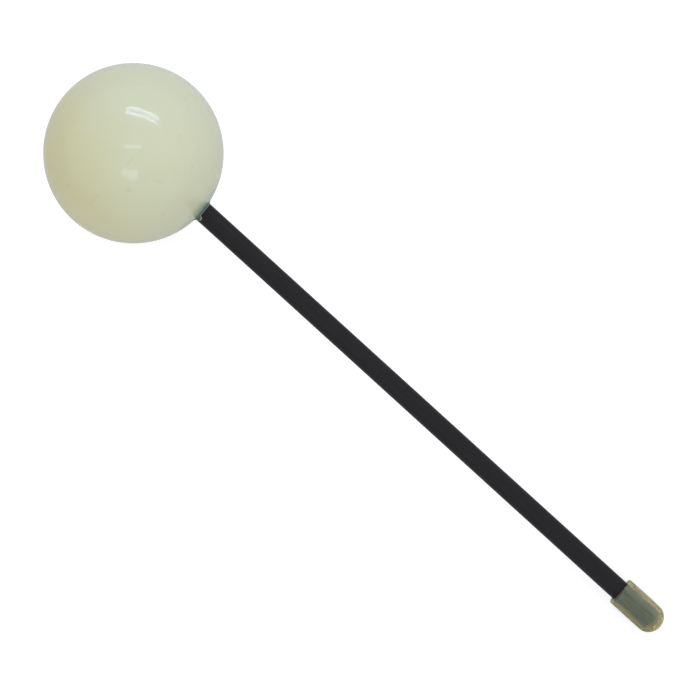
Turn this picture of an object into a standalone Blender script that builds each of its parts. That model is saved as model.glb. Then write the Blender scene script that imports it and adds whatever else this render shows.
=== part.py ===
"""Friction mallet: a translucent elastomer ball glued on a thin black rod, with a push-on end cap.

It lies on its side, as it is put down: the ball and the cap's dome both touch z = 0, and the rod runs
down from the ball to the cap. +X follows the rod as seen from above, from the ball to the cap. The
origin is under the middle of the whole. Metres, +Z up.
"""

from math import asin, cos, exp, pi, radians, sin, sqrt, tan

import bmesh
import bpy
from mathutils import Matrix, Vector

# Ball: its diameter, and how far and how deep the hole is drilled
ball_diameter = 0.0600
bore_offset = 0.00119  # the hole passes this far beside the ball's centre
bore_depth = 0.0360  # from the ball's surface to the shoulder of the drill's point
drill_point_angle = radians(118)

# Rod
rod_diameter = 0.0070
rod_length = 0.2390
rod_end_round = 0.0012  # both ends are rounded off, so that the cap slides on

# Adhesive between the rod and the hole, and the fillet that it leaves at the mouth
film_wall = 0.0002
film_bottom = 0.0004  # under the rod's end, before the drill's point
fillet_height = 0.00070  # up the rod
fillet_reach = 0.00060  # out over the ball, from the hole's edge
fillet_rim = 0.00012  # thickness of its outer edge
droplet_height = 0.00130  # a run of adhesive that stands above the fillet
droplet_bulge = 0.00040
droplet_width = 0.00085
droplet_angle = radians(41)  # from straight up, towards -Y

# Push-on end cap
cap_grip = 0.01358  # straight wall, from the mouth to the start of the dome
cap_dome = 0.00458  # how far the dome stands out past the straight wall
cap_wall = 0.00147
cap_tip_wall = 0.00160
cap_belly = 0.00008  # how much the stretched wall swells half way along
cap_mouth_draw = 0.00003  # how much it draws in at the mouth
cap_mouth_round = 0.00035
cap_lead_in = 0.00025

# Clearances between neighbouring pieces
bond_gap = 0.00003
cap_gap = 0.00006
seat_gap = 0.00005

# Smoothness
ball_facets = 64
round_facets = 48  # one count and one phase for all that shares the rod's axis
dome_steps = 12
corner_steps = 4
fillet_steps = 5
wall_steps = 6

ball_radius = ball_diameter / 2
rod_radius = rod_diameter / 2
film_inner_radius = rod_radius + bond_gap
film_outer_radius = film_inner_radius + film_wall
bore_radius = film_outer_radius + bond_gap
cavity_radius = rod_radius + cap_gap
cap_radius = cavity_radius + cap_wall
cavity_dome = cap_dome - cap_tip_wall

# Places along the rod's axis, counted from the foot of the ball's centre
mouth_x = sqrt(ball_radius**2 - bore_offset**2)
bore_end_x = mouth_x - bore_depth
rod_start_x = bore_end_x + seat_gap + film_bottom + bond_gap
rod_end_x = rod_start_x + rod_length
dome_x = rod_end_x - rod_end_round + seat_gap
cap_mouth_x = dome_x - cap_grip

# The rod slopes down so that the ball and the cap's dome touch the same surface
slope = asin((ball_radius - cap_radius) / dome_x)
ball_x = ball_radius - (ball_radius + dome_x * cos(slope) + cap_dome) / 2


def clear_scene():
    for obj in list(bpy.data.objects):
        bpy.data.objects.remove(obj, do_unlink=True)


def make_material(name, colour, roughness):
    material = bpy.data.materials.new(name)
    material.use_nodes = True
    shader = material.node_tree.nodes["Principled BSDF"]
    shader.inputs["Base Color"].default_value = (*colour, 1)
    shader.inputs["Roughness"].default_value = roughness
    shader.inputs["Metallic"].default_value = 0
    material.diffuse_color = (*colour, 1)
    return material


def add_empty(name, location, slope_y):
    empty = bpy.data.objects.new(name, None)
    empty.location = location
    empty.rotation_euler = (0, slope_y, 0)
    bpy.context.scene.collection.objects.link(empty)
    return empty


def add_piece(name, bm, parent, location, material):
    """Makes the finished bmesh an object under the sloping axis."""
    mesh = bpy.data.meshes.new(name)
    bm.to_mesh(mesh)
    bm.free()
    mesh.shade_smooth()
    mesh.set_sharp_from_angle(angle=radians(35))
    mesh.materials.append(material)
    obj = bpy.data.objects.new(name, mesh)
    obj.parent = parent
    obj.location = location
    bpy.context.scene.collection.objects.link(obj)
    return obj


def add_cutter(name, bm, parent, location):
    mesh = bpy.data.meshes.new(name)
    bm.to_mesh(mesh)
    bm.free()
    cutter = bpy.data.objects.new(name, mesh)
    cutter.parent = parent
    cutter.location = location
    cutter.hide_render = True
    cutter.display_type = "WIRE"
    bpy.context.scene.collection.objects.link(cutter)
    return cutter


def arc(centre, size, start, end, steps):
    """Points (x, r) of a round corner or dome, from angle start to end, counted from +r towards +X."""
    turns = [start + (end - start) * i / steps for i in range(steps + 1)]
    return [(centre[0] + size[0] * sin(a), centre[1] + size[1] * cos(a)) for a in turns]


def revolve(profile):
    """Spins an outline of (x, r) points that starts and ends on the X axis into a closed body."""
    bm = bmesh.new()
    turn = pi / round_facets  # a flat side faces straight down
    verts = [bm.verts.new((x, -r * sin(turn), r * cos(turn))) for x, r in profile]
    edges = [bm.edges.new(pair) for pair in zip(verts, verts[1:])]
    bmesh.ops.spin(
        bm,
        geom=verts + edges,
        axis=(1, 0, 0),
        cent=(0, 0, 0),
        angle=2 * pi,
        steps=round_facets,
        use_merge=True,
    )
    bmesh.ops.remove_doubles(bm, verts=bm.verts, dist=1e-7)
    bmesh.ops.recalc_face_normals(bm, faces=bm.faces)
    return bm


def make_ball(axis):
    """A sphere whose poles lie on the rod's direction, with the drilled hole beside its centre."""
    bm = bmesh.new()
    flat_down = Matrix.Rotation(pi / ball_facets, 4, "X")
    lie_along_x = Matrix.Rotation(pi / 2, 4, "Y")
    bmesh.ops.create_uvsphere(
        bm,
        u_segments=ball_facets,
        v_segments=ball_facets // 2,
        radius=ball_radius,
        matrix=flat_down @ lie_along_x,
    )
    material = make_material("translucent_elastomer", (0.58, 0.62, 0.45), 0.22)
    ball = add_piece("ball_head", bm, axis, (0, -bore_offset, 0), material)

    point = bore_radius / tan(drill_point_angle / 2)
    clear_of_ball = bore_radius
    drill = [
        (-bore_depth - point, 0),
        (-bore_depth, bore_radius),
        (clear_of_ball, bore_radius),
        (clear_of_ball, 0),
    ]
    cutter = add_cutter("bore_cutter", revolve(drill), axis, (mouth_x, 0, 0))
    cut = ball.modifiers.new("drilled_hole", "BOOLEAN")
    cut.operation = "DIFFERENCE"
    cut.object = cutter
    return ball


def make_rod(axis):
    flat_radius = rod_radius - rod_end_round
    corner = (rod_end_round, rod_end_round)
    profile = [(0, 0)]
    profile += arc((rod_end_round, flat_radius), corner, -pi / 2, 0, corner_steps)
    profile += arc((rod_length - rod_end_round, flat_radius), corner, 0, pi / 2, corner_steps)
    profile += [(rod_length, 0)]
    material = make_material("charcoal_fibre_rod", (0.022, 0.021, 0.026), 0.45)
    return add_piece("shaft_rod", revolve(profile), axis, (rod_start_x, 0, 0), material)


def rise_of_ball(y, z):
    """How far along the axis the ball's surface stands above the hole's mouth, at y, z beside the axis."""
    return sqrt(ball_radius**2 - (y + bore_offset) ** 2 - z**2) - mouth_x


def droplet_share(y, z):
    """1 at the droplet's middle, falling off round the rod."""
    towards = Vector((0, -sin(droplet_angle), cos(droplet_angle)))
    angle = towards.angle(Vector((0, y, z)))
    return exp(-((angle * rod_radius / droplet_width) ** 2))


def make_adhesive(axis):
    """A cup in the hole, whose brim is a fillet that follows the ball and carries one droplet."""
    point = film_outer_radius / tan(drill_point_angle / 2)
    shoulder_x = -bore_depth + seat_gap
    inside_x = shoulder_x + film_bottom
    corner = rod_end_round + bond_gap
    flat_radius = film_inner_radius - corner
    brim_radius = bore_radius + fillet_reach
    rim_x = seat_gap + fillet_rim
    top_x = seat_gap + fillet_height
    hollow = (rim_x - top_x, film_inner_radius - brim_radius)

    profile = [(shoulder_x - point, 0), (shoulder_x, film_outer_radius)]
    profile += [(seat_gap, film_outer_radius), (seat_gap, brim_radius)]
    # The hollow face of the fillet, from its rim up to the rod
    profile += arc((top_x, brim_radius), hollow, pi / 2, 0, fillet_steps)
    # Down the rod, round its end and in to the axis
    profile += arc((inside_x + corner, flat_radius), (corner, corner), 0, -pi / 2, corner_steps)
    profile += [(inside_x, 0)]

    bm = revolve(profile)
    brim = [vert for vert in bm.verts if vert.co.x > -bore_depth / 2]
    for vert in brim:
        x, y, z = vert.co
        share = droplet_share(y, z)
        above = (x - seat_gap) / fillet_height
        vert.co.x += rise_of_ball(y, z) + above * droplet_height * share
        outward = Vector((0, y, z)).normalized()
        vert.co += outward * droplet_bulge * share * sin(pi * above)
    material = make_material("cured_adhesive", (0.42, 0.44, 0.34), 0.12)
    return add_piece("adhesive_bond", bm, axis, (mouth_x, 0, 0), material)


def make_cap(axis):
    """A blind tube with a domed end: it swells a little along its grip and draws in at its mouth."""

    def outer_radius(x):
        along = x / cap_grip
        return cap_radius + cap_belly * sin(pi * along) - cap_mouth_draw * (1 - along) ** 2

    round_x = cap_mouth_round
    mouth_radius = outer_radius(round_x) - round_x
    profile = arc((cap_grip, 0), (cap_dome, cap_radius), pi / 2, 0, dome_steps)
    for i in range(wall_steps - 1, 0, -1):
        x = round_x + (cap_grip - round_x) * i / wall_steps
        profile.append((x, outer_radius(x)))
    profile += arc((round_x, mouth_radius), (round_x, round_x), 0, -pi / 2, corner_steps)
    profile += [(0, cavity_radius + cap_lead_in), (cap_lead_in, cavity_radius)]
    profile += arc((cap_grip, 0), (cavity_dome, cavity_radius), 0, pi / 2, dome_steps)
    material = make_material("amber_soft_cap", (0.34, 0.32, 0.17), 0.3)
    return add_piece("end_cap", revolve(profile), axis, (cap_mouth_x, 0, 0), material)


clear_scene()
rod_axis = add_empty("rod_axis", (ball_x, bore_offset, ball_radius), slope)
make_ball(rod_axis)
make_rod(rod_axis)
make_adhesive(rod_axis)
make_cap(rod_axis)
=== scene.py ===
# Friction mallet: an elastomer ball on a thin black rod, with a push-on end cap
from math import asin, cos, exp, hypot, pi, radians, sin, sqrt, tan

import bmesh
import bpy
from mathutils import Matrix, Quaternion, Vector


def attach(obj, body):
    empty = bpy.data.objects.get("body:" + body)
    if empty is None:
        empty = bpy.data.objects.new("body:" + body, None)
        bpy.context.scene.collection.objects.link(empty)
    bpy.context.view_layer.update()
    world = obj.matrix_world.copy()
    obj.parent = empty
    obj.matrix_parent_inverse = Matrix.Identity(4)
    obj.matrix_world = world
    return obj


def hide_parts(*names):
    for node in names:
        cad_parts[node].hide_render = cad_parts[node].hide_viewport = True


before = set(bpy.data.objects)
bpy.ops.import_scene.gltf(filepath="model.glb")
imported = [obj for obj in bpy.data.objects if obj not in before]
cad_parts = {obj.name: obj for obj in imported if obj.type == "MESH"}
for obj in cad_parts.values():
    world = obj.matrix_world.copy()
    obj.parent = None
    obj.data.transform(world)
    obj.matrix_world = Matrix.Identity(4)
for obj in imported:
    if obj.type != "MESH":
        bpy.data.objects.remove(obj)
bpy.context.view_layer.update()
print("packed model loaded:", ", ".join(sorted(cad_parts)))

# Sizes that every piece is set out from, in millimetres, the same as the solids have
sizes = {
    "ballRadius": 30.0,
    "boreOffset": 1.19,  # the hole passes this far beside the ball's centre
    "boreDepth": 36.0,
    "pointAngle": radians(118),  # of the drill that made the hole
    "rodRadius": 3.5,
    "rodLength": 239.0,
    "endRound": 1.2,
    "filmWall": 0.2,
    "filmBottom": 0.4,
    "bondGap": 0.03,
    "seatGap": 0.05,
    "capGap": 0.06,
    "capWall": 1.47,
    "capGrip": 13.58,
    "capDome": 4.58,
    "tipWall": 1.6,
}
millimetre = 0.001  # in metres
sharpAngle = radians(35)  # edges that turn by more than this stay sharp

filmInner = sizes["rodRadius"] + sizes["bondGap"]
filmOuter = filmInner + sizes["filmWall"]
boreRadius = filmOuter + sizes["bondGap"]
cavityRadius = sizes["rodRadius"] + sizes["capGap"]
capRadius = cavityRadius + sizes["capWall"]
pointSlope = tan(sizes["pointAngle"] / 2)

# Places along the rod, from the foot of the ball's centre
mouthX = sqrt(sizes["ballRadius"] ** 2 - sizes["boreOffset"] ** 2)
boreEndX = mouthX - sizes["boreDepth"]
rodStartX = boreEndX + sizes["seatGap"] + sizes["filmBottom"] + sizes["bondGap"]
rodEndX = rodStartX + sizes["rodLength"]
domeX = rodEndX - sizes["endRound"] + sizes["seatGap"]
capMouthX = domeX - sizes["capGrip"]

# The rod slopes down from the ball to the cap, and both touch the floor
slope = asin((sizes["ballRadius"] - capRadius) / domeX)
reach = sizes["ballRadius"] + domeX * cos(slope) + sizes["capDome"]
rodOrigin = Vector((sizes["ballRadius"] - reach / 2, sizes["boreOffset"], sizes["ballRadius"]))
rodOrigin *= millimetre
rodTurn = Matrix.Rotation(slope, 4, "Y")
rodFrame = Matrix.Translation(rodOrigin) @ rodTurn @ Matrix.Scale(millimetre, 4)
ballCentre = rodOrigin - Vector((0, sizes["boreOffset"] * millimetre, 0))


class Wire:
    # One output of a shader node, which takes part in Python sums
    def __init__(self, shader, socket):
        self.shader = shader
        self.socket = socket

    def other(self, name):
        return Wire(self.shader, self.socket.node.outputs[name])

    def __add__(self, value):
        return self.shader.maths("ADD", self, value)

    def __sub__(self, value):
        return self.shader.maths("SUBTRACT", self, value)

    def __rsub__(self, value):
        return self.shader.maths("SUBTRACT", value, self)

    def __mul__(self, value):
        return self.shader.maths("MULTIPLY", self, value)

    def __truediv__(self, value):
        return self.shader.maths("DIVIDE", self, value)

    __radd__ = __add__
    __rmul__ = __mul__


class Shader:
    def __init__(self, owner):
        # The owner is a new material or the world
        owner.use_nodes = True
        self.owner = owner
        self.tree = owner.node_tree
        self.tree.nodes.clear()

    def node(self, kind, settings=None, inputs=None, output=0):
        made = self.tree.nodes.new(kind)
        for name, value in (settings or {}).items():
            setattr(made, name, value)
        for name, value in (inputs or {}).items():
            if isinstance(value, Wire):
                self.tree.links.new(value.socket, made.inputs[name])
            else:
                made.inputs[name].default_value = value
        return Wire(self, made.outputs[output]) if made.outputs else made

    def maths(self, operation, *values):
        return self.node("ShaderNodeMath", {"operation": operation}, dict(enumerate(values)))

    def clip(self, value):
        settings = {"operation": "ADD", "use_clamp": True}
        return self.node("ShaderNodeMath", settings, {0: value, 1: 0})

    def step(self, value, low, high):
        # 0 below low, 1 above high, and a soft curve between them
        settings = {"interpolation_type": "SMOOTHSTEP"}
        inputs = {"Value": value, "From Min": low, "From Max": high}
        return self.node("ShaderNodeMapRange", settings, inputs)

    def mix(self, share, first, second):
        # The colour sockets of a Mix node are numbers 6 and 7, and its colour result is number 2
        inputs = {0: share}
        for socket, colour in ((6, first), (7, second)):
            inputs[socket] = colour if isinstance(colour, Wire) else (*colour, 1)
        return self.node("ShaderNodeMix", {"data_type": "RGBA"}, inputs, output=2)

    def vector(self, operation, first, second, output=0):
        settings = {"operation": operation}
        return self.node("ShaderNodeVectorMath", settings, {0: first, 1: second}, output)

    def noise(self, place, scale, detail=2.0, roughness=0.5, output=0):
        inputs = {"Vector": place, "Scale": scale, "Detail": detail, "Roughness": roughness}
        return self.node("ShaderNodeTexNoise", None, inputs, output)

    def place(self, centre=rodOrigin, turn=slope):
        # Millimetres along and across the rod, from a point of it
        plain = self.node("ShaderNodeTexCoord", output="Object")
        inputs = {"Vector": plain, "Location": centre, "Rotation": (0, turn, 0)}
        inputs["Scale"] = (millimetre,) * 3
        return self.node("ShaderNodeMapping", {"vector_type": "TEXTURE"}, inputs)

    def bump(self, height, distance, strength=1.0):
        inputs = {"Strength": strength, "Distance": distance, "Height": height}
        return self.node("ShaderNodeBump", None, inputs)

    def principled(self, **inputs):
        named = {name.replace("_", " "): value for name, value in inputs.items()}
        return self.node("ShaderNodeBsdfPrincipled", None, named)

    def finish(self, surface):
        self.node("ShaderNodeOutputMaterial", None, {"Surface": surface})
        return self.owner


def newShader(name):
    return Shader(bpy.data.materials.new(name))


def paint(red, green, blue):
    # A picture's 0 to 255 values as the linear colour that a shader takes
    values = [value / 255 for value in (red, green, blue)]
    return tuple(v / 12.92 if v <= 0.04045 else ((v + 0.055) / 1.055) ** 2.4 for v in values)


def softStep(value, low, high):
    share = min(max((value - low) / (high - low), 0), 1)
    return share * share * (3 - 2 * share)


def arcPoints(centre, size, start, end, steps):
    # (x, r) points of a round corner or dome, by angle from +r towards +X
    turns = [start + (end - start) * i / steps for i in range(steps + 1)]
    return [(centre[0] + size[0] * sin(a), centre[1] + size[1] * cos(a)) for a in turns]


def spinProfile(profile, segments):
    # Spins (x, r) points, from the axis back to the axis, round the rod's line
    bm = bmesh.new()
    verts = [bm.verts.new((x, 0, r)) for x, r in profile]
    edges = [bm.edges.new(pair) for pair in zip(verts, verts[1:])]
    bmesh.ops.spin(
        bm,
        geom=verts + edges,
        axis=(1, 0, 0),
        cent=(0, 0, 0),
        angle=2 * pi,
        steps=segments,
        use_merge=True,
    )
    bmesh.ops.remove_doubles(bm, verts=bm.verts, dist=1e-4)
    bmesh.ops.recalc_face_normals(bm, faces=bm.faces)
    return bm


def addPiece(name, bm, material, body, node):
    # Sets the millimetre mesh along the rod and hands it to the frame
    bm.transform(rodFrame)
    mesh = bpy.data.meshes.new(name)
    bm.to_mesh(mesh)
    bm.free()
    mesh.shade_smooth()
    mesh.set_sharp_from_angle(angle=sharpAngle)
    mesh.materials.append(material)
    piece = bpy.data.objects.new(name, mesh)
    bpy.context.scene.collection.objects.link(piece)
    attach(piece, body)
    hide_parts(node)
    print(name, "made:", len(mesh.polygons), "faces")


# Camera

viewpoint = {
    "away": 1.300,  # metres, from the ball's centre to the camera's plane
    "tilt": radians(3.77),  # off straight down, so that it looks back from the cap's end
    "turn": radians(42.281),
    "focalPixels": 3906.5,
    "picturePixels": 700,
    "ballPixel": (133.0, 152.77),
    "sensorWidth": 36,  # millimetres
    "nearest": 0.01,  # metres
}


def addCamera():
    look = viewpoint
    forward = Vector((-sin(look["tilt"]), 0, -cos(look["tilt"])))
    along = Vector((cos(look["tilt"]), 0, -sin(look["tilt"])))
    across = Vector((0, 1, 0))
    right = along * cos(look["turn"]) + across * sin(look["turn"])
    down = along * sin(look["turn"]) - across * cos(look["turn"])
    middle = (look["picturePixels"] - 1) / 2
    scale = look["away"] / look["focalPixels"]
    offset = right * (look["ballPixel"][0] - middle) + down * (look["ballPixel"][1] - middle)
    place = ballCentre - forward * look["away"] - offset * scale

    data = bpy.data.cameras.new("camera")
    data.sensor_width = look["sensorWidth"]
    data.lens = look["sensorWidth"] * look["focalPixels"] / look["picturePixels"]
    data.clip_start = look["nearest"]
    camera = bpy.data.objects.new("camera", data)
    turn = Matrix((right, -down, -forward)).transposed()
    camera.matrix_world = Matrix.Translation(place) @ turn.to_4x4()
    bpy.context.scene.collection.objects.link(camera)
    bpy.context.scene.camera = camera


# Light

light = {
    "horizon": 0.855,  # how strongly the surroundings light the object, level and from overhead
    "overhead": 0.832,
    "slant": (0.10, 0.0, 0),  # a little more of it comes from the cap's side
    "lampTint": (0.84, 0.96, 1.45),
}

# Lamps that show in the ball, placed from its centre, in metres
lamps = {
    # name: place, long side, short side, turn, shift across, watts
    "tube1": ((-0.295, 0.680, 0.651), 0.68, 0.096, radians(1), -0.060, 1.02),
    "tube2": ((-0.295, 0.680, 0.651), 0.68, 0.096, radians(2), 0.060, 1.02),
    "ceilingBar": ((0.022, 0.095, 0.995), 0.36, 0.08, radians(55), 0, 0.24),
    "farWindow": ((0.188, -0.188, 0.424), 0.16, 0.11, radians(0), 0, 0.105),
}


def addLamp(name, offset, length, width, roll, shift, watts):
    # A soft rectangle, square to the line from the ball
    towards = Vector(offset).normalized()
    across = Vector((0, 0, 1)).cross(towards).normalized()
    upward = towards.cross(across)
    along = across * cos(roll) + upward * sin(roll)
    side = towards.cross(along)
    data = bpy.data.lights.new(name, "AREA")
    data.shape = "RECTANGLE"
    data.size = length
    data.size_y = width
    data.energy = watts
    data.color = light["lampTint"]
    lamp = bpy.data.objects.new(name, data)
    place = ballCentre + Vector(offset) + side * shift
    turn = Matrix((along, side, towards)).transposed()
    lamp.matrix_world = Matrix.Translation(place) @ turn.to_4x4()
    lamp.visible_camera = False
    bpy.context.scene.collection.objects.link(lamp)


def addWorld():
    # White where it is seen, and dimmer, by height and side, where it lights the object
    shader = Shader(bpy.data.worlds.new("studio"))
    rays = shader.node("ShaderNodeLightPath", output="Is Camera Ray")
    seen = shader.clip(rays + rays.other("Is Glossy Ray") + rays.other("Is Transmission Ray"))
    towards = shader.node("ShaderNodeTexCoord", output="Generated")
    height = shader.clip(shader.node("ShaderNodeSeparateXYZ", None, {0: towards}, "Z"))
    slant = shader.vector("DOT_PRODUCT", towards, light["slant"], "Value")
    lit = height * (light["overhead"] - light["horizon"]) + light["horizon"] + slant
    strength = seen + (1 - seen) * lit
    back = shader.node("ShaderNodeBackground", None, {"Color": (1, 1, 1, 1), "Strength": strength})
    shader.node("ShaderNodeOutputWorld", None, {"Surface": back})
    bpy.context.scene.world = shader.owner


floorLook = {
    "size": 8.0,
    "grey": 0.55,
    "glow": 0.63,  # lifts it to white where it is seen
    "glossyShare": 0.22,  # how much of that glow a glossy surface mirrors
}


def addFloor():
    look = floorLook
    bm = bmesh.new()
    bmesh.ops.create_grid(bm, x_segments=1, y_segments=1, size=look["size"] / 2)
    mesh = bpy.data.meshes.new("floor")
    bm.to_mesh(mesh)
    bm.free()
    floor = bpy.data.objects.new("floor", mesh)
    bpy.context.scene.collection.objects.link(floor)
    shader = newShader("paleFloor")
    rays = shader.node("ShaderNodeLightPath", output="Is Camera Ray")
    mirrored = rays.other("Is Glossy Ray") * look["glossyShare"]
    seen = shader.clip(rays + rays.other("Is Transmission Ray") + mirrored)
    diffuse = shader.node("ShaderNodeBsdfDiffuse", None, {"Color": (look["grey"],) * 3 + (1,)})
    glow = shader.node("ShaderNodeEmission", None, {"Strength": seen * look["glow"]})
    both = shader.node("ShaderNodeAddShader", None, {0: diffuse, 1: glow})
    mesh.materials.append(shader.finish(both))


# Ball

ballLook = {
    "segments": 192,
    "rings": 96,
    "holeRings": 12,
    "seamHeight": 0.012,  # the mould line stands proud by this much
    "seamHalfWidth": 0.35,
    "seamTilt": radians(3.9),  # the hole isn't drilled quite square to the mould line
    "seamFade": (0.10, 0.50),  # where its dark line ends, either side
    "seamDark": 0.05,
    "seamFaint": 0.1,  # the share of that where it hardly shows
    "pale": paint(209, 212, 182),
    # warm tone of the casting's clouds, and of the painted shade on the side away from the lamps
    "warmCloudAndShade": paint(209, 206, 161),
    "shadedSide": (-0.55, -0.77, -0.30),
    # painted shade of the rod, seen through the ball round the hole
    "rodShade": paint(0, 140, 112),
    "rodShadeReach": (3.4, 14.0),  # from the middle of the hole's mouth
    "rodShadeShare": 0.42,
    "dirt": (0.22, 0.16, 0.02),
    "ragged": 2.0,  # how far the outline of a mark wanders
    "freckles": 0.04,
    "scatter": (0.0085, 0.0070, 0.0060),  # how far light wanders inside, in metres, by colour
    "ior": 1.43,
    "roughness": 0.065,
    "smudges": 0.02,
    "slowWaves": 0.35,
    "fineWaves": 0.02,
    "waveDepth": 0.00006,
}

# Specks and smudges: place on the ball in millimetres, radius, and how dark
ballMarks = [
    ((7.5, -10.1, 27.2), 1.5, 0.07),
    ((9.9, -10.4, 26.3), 0.9, 0.03),
    ((-8.5, -22.2, 18.3), 1.7, 0.06),
    ((12.8, -1.4, 27.1), 0.9, 0.11),
    ((14.2, -1.0, 26.4), 0.8, 0.09),
    ((21.2, -8.4, 19.5), 1.1, 0.09),
    ((23.4, 13.2, 13.4), 1.5, 0.04),
    ((-27.2, -3.6, 12.0), 1.5, 0.05),
    ((-26.2, 5.8, 13.5), 1.0, 0.05),
    ((-27.7, 0.3, 11.6), 0.8, 0.04),
    ((-3.2, 2.7, 29.7), 1.0, 0.02),
    ((23.1, 4.7, 18.5), 1.2, 0.04),
    ((13.9, 1.6, 26.5), 0.9, 0.03),
    ((-13.2, 17.8, 20.2), 0.9, 0.05),
    ((17.9, 9.8, 22.0), 1.0, 0.09),
    ((8.3, 14.6, 24.9), 1.2, 0.05),
    ((-19.8, -11.6, 19.4), 0.9, 0.05),
    ((-25.4, 13.6, 8.4), 0.7, 0.08),
]

# The mould line is seen only here and there: where, and how far it runs from there
seamShows = [
    ((1.0, 26.2, 14.6), 5.0),
    ((2.1, 2.6, 29.8), 1.2),
    ((2.2, -2.7, 29.8), 2.0),
    ((1.8, -19.8, 22.5), 3.2),
]


def ballMaterial():
    look = ballLook
    shader = newShader("milkyElastomer")
    place = shader.place(ballCentre)
    turned = shader.place(ballCentre, slope + look["seamTilt"])

    # Slow clouds in the casting, and painted shade: the side away from the lamps is warmer and duller
    clouds = shader.noise(place, 0.07, 3.0)
    side = shader.vector("DOT_PRODUCT", place, look["shadedSide"], "Value") / sizes["ballRadius"]
    cloudsAndShade = shader.clip(shader.step(side, -0.45, 0.95) + (clouds - 0.5) * 0.5)
    colour = shader.mix(cloudsAndShade, look["pale"], look["warmCloudAndShade"])

    # Painted shade round the hole, where the dark rod inside shows through the thin material
    mouth = (mouthX, sizes["boreOffset"], 0)
    rodShadeNear = 1 - shader.step(shader.vector("DISTANCE", place, mouth, "Value"), *look["rodShadeReach"])
    colour = shader.mix(rodShadeNear * look["rodShadeShare"], colour, look["rodShade"])

    # The mould line comes and goes, and the specks are ragged
    shown = look["seamFaint"]
    for spot, run in seamShows:
        far = shader.vector("DISTANCE", place, spot, "Value")
        shown = shown + (1 - shader.step(far, run * 0.7, run))
    alongTurned = shader.node("ShaderNodeSeparateXYZ", None, {0: turned}, "X")
    seam = 1 - shader.step(shader.maths("ABSOLUTE", alongTurned), *look["seamFade"])
    dark = seam * shown * look["seamDark"]
    wander = shader.noise(place, 1.1, 3.0, 0.6, "Color")
    wander = shader.vector("MULTIPLY", wander, (look["ragged"],) * 3)
    ragged = shader.vector("ADD", place, wander)
    for spot, radius, strength in ballMarks:
        middle = [value + look["ragged"] / 2 for value in spot]
        far = shader.vector("DISTANCE", ragged, middle, "Value")
        dark = dark + (1 - shader.step(far, radius * 0.2, radius)) * strength
    freckles = shader.noise(place, 0.55, 4.0, 0.65)
    dark = dark + shader.step(freckles, 0.64, 0.78) * look["freckles"]
    colour = shader.mix(shader.clip(dark), colour, look["dirt"])

    # Smudges on its gloss, and the slow and the fine waves of a cast surface
    smudges = shader.noise(place, 0.12, 3.0)
    roughness = look["roughness"] + (smudges - 0.5) * look["smudges"]
    waves = shader.noise(place, 0.11, 2.0) * look["slowWaves"]
    waves = waves + shader.noise(place, 1.1, 2.0) * look["fineWaves"]
    bump = shader.bump(waves, look["waveDepth"])
    surface = shader.principled(
        Base_Color=colour,
        Roughness=roughness,
        Normal=bump,
        IOR=look["ior"],
        Subsurface_Weight=1.0,
        Subsurface_Radius=look["scatter"],
        Subsurface_Scale=1.0,
    )
    return shader.finish(surface)


def makeBall():
    look = ballLook
    radius = sizes["ballRadius"]
    mouthAngle = asin(boreRadius / radius)
    seamAngle = look["seamHalfWidth"] / radius
    count = look["rings"]
    turns = [-pi / 2 + (pi - mouthAngle) * i / count for i in range(count + 1)]
    turns = [a for a in turns if abs(a) > 1.4 * seamAngle]
    turns += [seamAngle * share for share in (-1, -0.66, -0.33, 0, 0.33, 0.66, 1)]
    profile = []
    for angle in sorted(turns):
        ridge = max(0, 1 - (angle / seamAngle) ** 2) ** 2 * look["seamHeight"]
        profile.append(((radius + ridge) * sin(angle), max((radius + ridge) * cos(angle), 0)))

    # Down the drilled hole to its point
    edgeX = profile[-1][0]
    profile[-1] = (edgeX, boreRadius)
    depth = edgeX - boreEndX
    holeRings = look["holeRings"]
    profile += [(edgeX - depth * i / holeRings, boreRadius) for i in range(1, holeRings + 1)]
    profile.append((boreEndX - boreRadius / pointSlope, 0))
    bm = spinProfile(profile, look["segments"])

    # The far half keeps the mould line's tilt, and the near half turns to the hole beside the centre
    tilt = Quaternion((0, 1, 0), look["seamTilt"])
    aside = Quaternion((0, 0, 1), asin(sizes["boreOffset"] / radius))
    for vert in bm.verts:
        inHole = vert.co.length < radius - 0.01
        if inHole:
            vert.co.y += sizes["boreOffset"]
            continue
        share = softStep(vert.co.x, 0.05 * radius, 0.95 * radius)
        vert.co.rotate(tilt.slerp(aside, share))
    bmesh.ops.translate(bm, verts=bm.verts, vec=(0, -sizes["boreOffset"], 0))
    addPiece("elastomerBall", bm, ballMaterial(), "mallet", "ball_head")


# Rod

rodLook = {
    "segments": 128,
    "rings": 60,
    "cornerSteps": 8,
    "charcoal": (0.0057, 0.0050, 0.0060),
    "paler": (0.0125, 0.0118, 0.0112),
    "palerShare": 0.6,
    "grainStretch": (0.03, 1, 1),  # the fibres run lengthwise
    "grainDepth": 0.00002,
    "roughness": 0.46,
    "gloss": 0.20,
}


def rodMaterial():
    look = rodLook
    shader = newShader("pultrudedRod")
    place = shader.place()
    stretched = shader.vector("MULTIPLY", place, look["grainStretch"])
    grain = shader.noise(stretched, 4.5, 3.0, 0.6)
    patches = shader.noise(place, 0.18, 2.0)
    share = shader.step(grain, 0.42, 0.72) * look["palerShare"]
    colour = shader.mix(share, look["charcoal"], look["paler"])
    roughness = look["roughness"] + (grain - 0.5) * 0.12 + (patches - 0.5) * 0.10
    bump = shader.bump(grain, look["grainDepth"], 0.6)
    surface = shader.principled(
        Base_Color=colour,
        Roughness=roughness,
        Normal=bump,
        Specular_IOR_Level=look["gloss"],
    )
    return shader.finish(surface)


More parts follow.
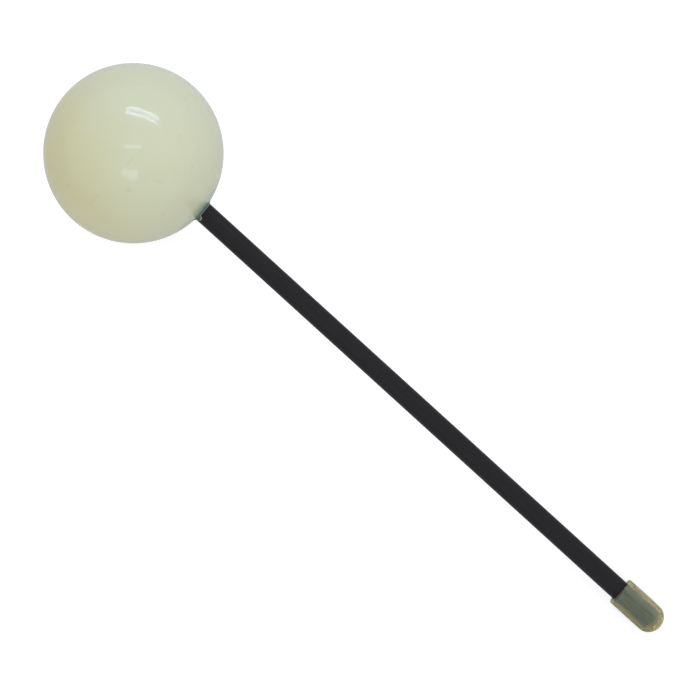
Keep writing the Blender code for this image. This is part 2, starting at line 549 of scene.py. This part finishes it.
def makeRod():
    look = rodLook
    radius, length, corner = sizes["rodRadius"], sizes["rodLength"], sizes["endRound"]
    size, steps = (corner, corner), look["cornerSteps"]
    profile = [(0, 0), (0, (radius - corner) / 2)]
    profile += arcPoints((corner, radius - corner), size, -pi / 2, 0, steps)
    straight = length - 2 * corner
    profile += [(corner + straight * i / look["rings"], radius) for i in range(1, look["rings"])]
    profile += arcPoints((length - corner, radius - corner), size, 0, pi / 2, steps)
    profile += [(length, (radius - corner) / 2), (length, 0)]
    bm = spinProfile(profile, look["segments"])
    bmesh.ops.translate(bm, verts=bm.verts, vec=(rodStartX, 0, 0))
    addPiece("fibreRod", bm, rodMaterial(), "mallet", "shaft_rod")


# Adhesive

glueLook = {
    "segments": 288,
    "filletSteps": 16,
    "cornerSteps": 8,
    "filletHeight": 0.70,
    "filletReach": 0.40,
    "filletRim": 0.12,
    "dropletHeight": 1.9,  # a round-nosed bead of glue that ran up the rod
    "dropletDepth": 0.75,
    "dropletWidth": 0.85,
    "dropletAngle": radians(41),  # from straight up, towards -Y
    "milky": paint(132, 148, 136),
    "thin": paint(56, 62, 65),
    # colour of the painted highlight on the bead's side that faces the lamps
    "edge": paint(214, 212, 184),
    "edgeCentre": (30.45, -1.29, 0),  # the painted highlight on the bead is a pale arc round this place, seen from above
    "edgeInside": (0.60, 0.90),  # how far out it starts and ends
    "edgeOutside": (0.95, 1.25),
    "edgeFacing": (0.81, 0.59, 0),
    "ior": 1.55,
    "clearness": 0.45,
    "roughness": 0.05,
    "waveDepth": 0.00004,
}


def glueMaterial():
    # Milky where it is thick against the ball, and darker where it runs out over the rod
    look = glueLook
    shader = newShader("curedAdhesive")
    place = shader.place(ballCentre)
    clouds = shader.noise(place, 1.4, 2.0)
    rise = shader.vector("DISTANCE", place, (0, 0, 0), "Value") - sizes["ballRadius"]
    colour = shader.mix(shader.step(rise + clouds * 0.4, 0.1, 1.5), look["milky"], look["thin"])
    # A painted highlight: a pale arc on the bead, on its side towards the lamps
    aside = shader.vector("SUBTRACT", place, look["edgeCentre"])
    aside = shader.vector("MULTIPLY", aside, (1, 1, 0))
    far = shader.vector("LENGTH", aside, (0, 0, 0), "Value")
    facing = shader.vector("DOT_PRODUCT", aside, look["edgeFacing"], "Value")
    glintRing = shader.step(far, *look["edgeInside"]) * (1 - shader.step(far, *look["edgeOutside"]))
    edge = glintRing * shader.step(facing, 0.2, 0.6)
    colour = shader.mix(edge, colour, look["edge"])
    bump = shader.bump(clouds, look["waveDepth"], 0.5)
    surface = shader.principled(
        Base_Color=colour,
        Roughness=look["roughness"] + clouds * 0.04,
        Normal=bump,
        IOR=look["ior"],
        Transmission_Weight=look["clearness"],
    )
    return shader.finish(surface)


def makeGlue():
    look = glueLook
    brim = boreRadius + look["filletReach"]
    shoulder = boreEndX + sizes["seatGap"]
    inside = shoulder + sizes["filmBottom"]
    rim = sizes["seatGap"] + look["filletRim"]
    top = sizes["seatGap"] + look["filletHeight"]
    corner = sizes["endRound"] + sizes["bondGap"]

    # The cup in the hole, with its brim's heights counted from the mouth
    profile = [(shoulder - filmOuter / pointSlope, 0), (shoulder, filmOuter)]
    profile += [(mouthX + sizes["seatGap"], filmOuter), (mouthX + sizes["seatGap"], brim)]
    hollow = (rim - top, filmInner - brim)
    profile += arcPoints((mouthX + top, brim), hollow, pi / 2, 0, look["filletSteps"])
    centre, size = (inside + corner, filmInner - corner), (corner, corner)
    profile += arcPoints(centre, size, 0, -pi / 2, look["cornerSteps"])
    profile += [(inside, 0)]
    bm = spinProfile(profile, look["segments"])

    # The brim follows the ball's surface and swells into one bead
    runs = Vector((0, -sin(look["dropletAngle"]), cos(look["dropletAngle"])))
    foot = mouthX + sizes["seatGap"]
    for vert in bm.verts:
        x, y, z = vert.co
        if x < mouthX - 1:
            continue
        outward = Vector((0, y, z)).normalized()
        aside = runs.angle(outward) * sizes["rodRadius"] / look["dropletWidth"]
        above = (x - foot) / look["filletHeight"] * pi / 2
        onHoleEdge = above < 0.01 and hypot(y, z) < filmOuter + 0.01
        if aside < 1 and not onHoleEdge:
            bead = outward * (filmInner + look["dropletDepth"] * cos(above))
            bead.x = foot + look["dropletHeight"] * sin(above)
            vert.co = vert.co.lerp(bead, sqrt(1 - aside**2))
        vert.co.x += sqrt(sizes["ballRadius"] ** 2 - (y + sizes["boreOffset"]) ** 2 - z**2) - mouthX
    addPiece("glueFillet", bm, glueMaterial(), "mallet", "adhesive_bond")


# End cap

capLook = {
    "segments": 128,
    "domeSteps": 32,
    "wallSteps": 72,
    "cornerSteps": 8,
    "gripSteps": 8,  # inside
    "cavitySteps": 24,
    "belly": 0.08,
    "mouthDraw": 0.03,
    "mouthRound": 0.2,
    "leadIn": 0.25,
    "ridgeHeight": 0.05,  # faint moulded rings near the mouth
    "ridgePlaces": (0.9, 1.6, 2.3),
    "ridgeWidth": 0.16,
    "amber": paint(196, 172, 96),
    # painted shade on the flank away from the lamps
    "shadedOlive": paint(138, 122, 64),
    # painted shade inside the cavity's dome
    "cavityShade": paint(158, 147, 88),
    "haze": paint(176, 190, 162),
    "lip": paint(228, 202, 132),
    "shadedFlank": (-4.2, -1.5),  # across the rod, where the painted shade on the flank away from the lamps ends
    "sheenLine": 2.5,  # across the rod, where the band of painted sheen runs
    "hazeShare": 0.20,  # all over, and then how much each place adds or takes off
    "streakHaze": 0.24,
    "sheenHaze": 0.10,
    "lipHaze": 0.12,
    "sideHaze": 0.34,
    "tipHaze": 0.18,
    "scatter": (0.020, 0.012, 0.007),
    "ior": 1.40,
    "roughness": 0.175,
    "clouding": 0.08,
    "waveDepth": 0.00003,
}


def capMaterial():
    # Clear amber plastic with a milky haze, which looks blue-grey over the dark rod
    look = capLook
    shader = newShader("amberSoftCap")
    place = shader.place()
    along = shader.node("ShaderNodeSeparateXYZ", None, {0: place})
    across = along.other("Y")
    stretched = shader.vector("MULTIPLY", place, (0.15, 1, 1))
    streaks = shader.noise(stretched, 1.0, 3.0, 0.6)
    clouds = shader.noise(place, 0.3, 2.0)

    # Painted shade: the flank away from the lamps is darker olive, and the dome of the cavity is
    # painted greyer than the outside
    flankShade = shader.clip(1 - shader.step(across, *look["shadedFlank"]) + streaks * 0.15)
    colour = shader.mix(flankShade, look["amber"], look["shadedOlive"])
    fromDome = shader.vector("SUBTRACT", place, (domeX, 0, 0))
    cavity = (sizes["capDome"] - sizes["tipWall"], cavityRadius, cavityRadius)
    outward = shader.vector("LENGTH", shader.vector("DIVIDE", fromDome, cavity), (0, 0, 0), "Value")
    colour = shader.mix(1 - shader.step(outward, 1.05, 1.25), colour, look["cavityShade"])

    # A paler band of painted sheen runs along the upper flank, towards the lamps, the tip is a milkier
    # amber, and the thin lip is clear but for its two pale sides
    paintedSheen = 1 - shader.step(shader.maths("ABSOLUTE", across - look["sheenLine"]), 0.3, 1.5)
    lip = 1 - shader.step(along - capMouthX, 0.1, 0.8)
    sides = lip * shader.step(shader.maths("ABSOLUTE", across), 3.0, 4.2)
    tip = shader.step(along - domeX, 2.0, 4.0)
    share = look["hazeShare"] + (streaks - 0.5) * look["streakHaze"] + paintedSheen * look["sheenHaze"]
    share = share - lip * look["lipHaze"] + sides * look["sideHaze"] + tip * look["tipHaze"]
    roughness = look["roughness"] + (clouds - 0.5) * look["clouding"]
    height = streaks * 0.5 + shader.noise(place, 2.0, 2.0) * 0.08
    bump = shader.bump(height, look["waveDepth"], 0.7)
    clear = shader.principled(
        Base_Color=colour,
        Roughness=roughness,
        Normal=bump,
        IOR=look["ior"],
        Transmission_Weight=1.0,
    )
    haze = shader.principled(
        Base_Color=shader.mix(sides + tip, look["haze"], look["lip"]),
        Roughness=roughness,
        Normal=bump,
        IOR=look["ior"],
        Subsurface_Weight=1.0,
        Subsurface_Radius=look["scatter"],
        Subsurface_Scale=1.0,
    )
    return shader.finish(shader.node("ShaderNodeMixShader", None, {0: share, 1: clear, 2: haze}))


def capOuterRadius(x):
    # Of the straight wall, at a distance from the mouth
    look = capLook
    along = x / sizes["capGrip"]
    swell = look["belly"] * sin(pi * along) - look["mouthDraw"] * (1 - along) ** 2
    rings = sum(exp(-(((x - place) / look["ridgeWidth"]) ** 2)) for place in look["ridgePlaces"])
    return capRadius + swell + rings * look["ridgeHeight"]


def makeCap():
    look = capLook
    grip, lip = sizes["capGrip"], look["mouthRound"]

    # From the tip over the dome and along the wall to the lip
    outside = (sizes["capDome"], capRadius)
    profile = arcPoints((grip, 0), outside, pi / 2, 0, look["domeSteps"])
    steps = look["wallSteps"]
    wall = [lip + (grip - lip) * (i / steps) for i in range(steps - 1, 0, -1)]
    profile += [(x, capOuterRadius(x)) for x in wall]
    corner = (lip, capOuterRadius(lip) - lip)
    profile += arcPoints(corner, (lip, lip), 0, -pi / 2, look["cornerSteps"])

    # Then inside, past the lead-in and up to the cavity's own dome
    profile += [(0, cavityRadius + look["leadIn"]), (look["leadIn"], cavityRadius)]
    steps = look["gripSteps"]
    profile += [(grip * i / steps, cavityRadius) for i in range(1, steps)]
    inside = (sizes["capDome"] - sizes["tipWall"], cavityRadius)
    profile += arcPoints((grip, 0), inside, 0, pi / 2, look["cavitySteps"])
    bm = spinProfile(profile, look["segments"])
    bmesh.ops.translate(bm, verts=bm.verts, vec=(capMouthX, 0, 0))
    addPiece("softCap", bm, capMaterial(), "end_cap", "end_cap")


addCamera()
for name, values in lamps.items():
    addLamp(name, *values)
addWorld()
addFloor()
print("studio set")
makeBall()
makeRod()
makeGlue()
makeCap()

bpy.context.scene.view_settings.view_transform = "Standard"
